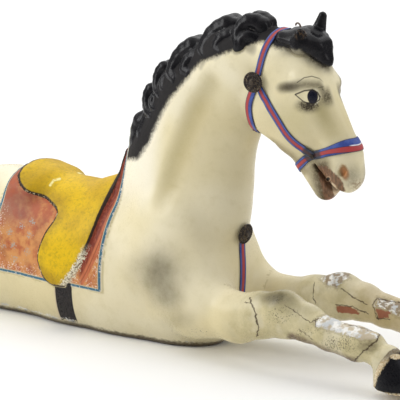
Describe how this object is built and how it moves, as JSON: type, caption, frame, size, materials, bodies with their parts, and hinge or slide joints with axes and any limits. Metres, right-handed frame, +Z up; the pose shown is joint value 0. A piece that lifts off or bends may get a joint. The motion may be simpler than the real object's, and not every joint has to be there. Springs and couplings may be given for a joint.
{
  "type": "carousel horse",
  "caption": "Carved and painted wooden fairground horse at full gallop, flat under the belly, with saddle and cloth in relief and a striped ribbon bridle.",
  "frame": {"origin": "centre of the bounding box at the ground, which is the plane of the flat underside", "axes": "+X where the horse looks, +Y its left side, +Z up"},
  "size_m": [1.367, 0.2164, 0.5962],
  "materials": {
    "paint": "old gloss paint and varnish over carved wood",
    "ribbon": "woven ribbon, blue with a red stripe",
    "rosette": "darkened metal",
    "wire": "dull bent wire"
  },
  "bodies": {
    "root": {"horse": "paint", "crownpiece": "ribbon", "cheek_strap_right": "ribbon", "cheek_strap_left": "ribbon", "throatlatch": "ribbon", "noseband": "ribbon", "breast_ribbon": "ribbon", "rosette_right": "rosette", "rosette_left": "rosette", "rosette_breast": "rosette", "knot_right": "rosette", "knot_left": "rosette", "ear_pin": "wire"}
  },
  "joints": []
}
